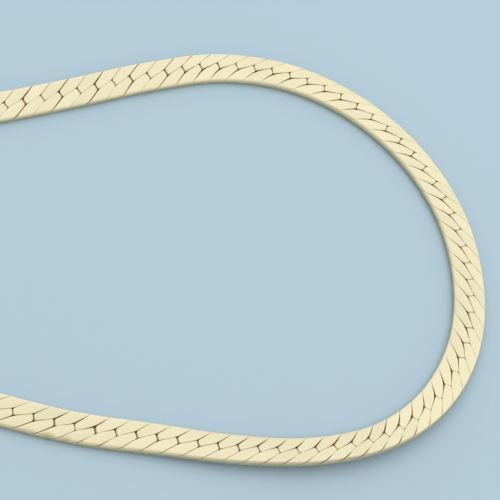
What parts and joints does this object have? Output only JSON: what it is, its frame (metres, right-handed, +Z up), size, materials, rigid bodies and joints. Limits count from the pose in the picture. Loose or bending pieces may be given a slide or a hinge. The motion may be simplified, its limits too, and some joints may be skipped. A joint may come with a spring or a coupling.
{
  "type": "herringbone chain necklace",
  "caption": "Flat herringbone chain necklace of interlocking slanted links, laid in a long teardrop loop and closed at the back by a plain bar clasp.",
  "frame": {"origin": "centre of the bounding box in plan, on the table that the chain lies on", "axes": "+Z up from the table, +X along the loop from the clasp towards the front bend, +Y across the loop"},
  "size_m": [0.1844, 0.0726, 0.0027],
  "materials": {
    "gold_links": "satin",
    "gold_clasp": "polished"
  },
  "bodies": {
    "root": {"chain_left": "gold_links", "chain_right": "gold_links", "clasp": "gold_clasp"}
  },
  "joints": []
}
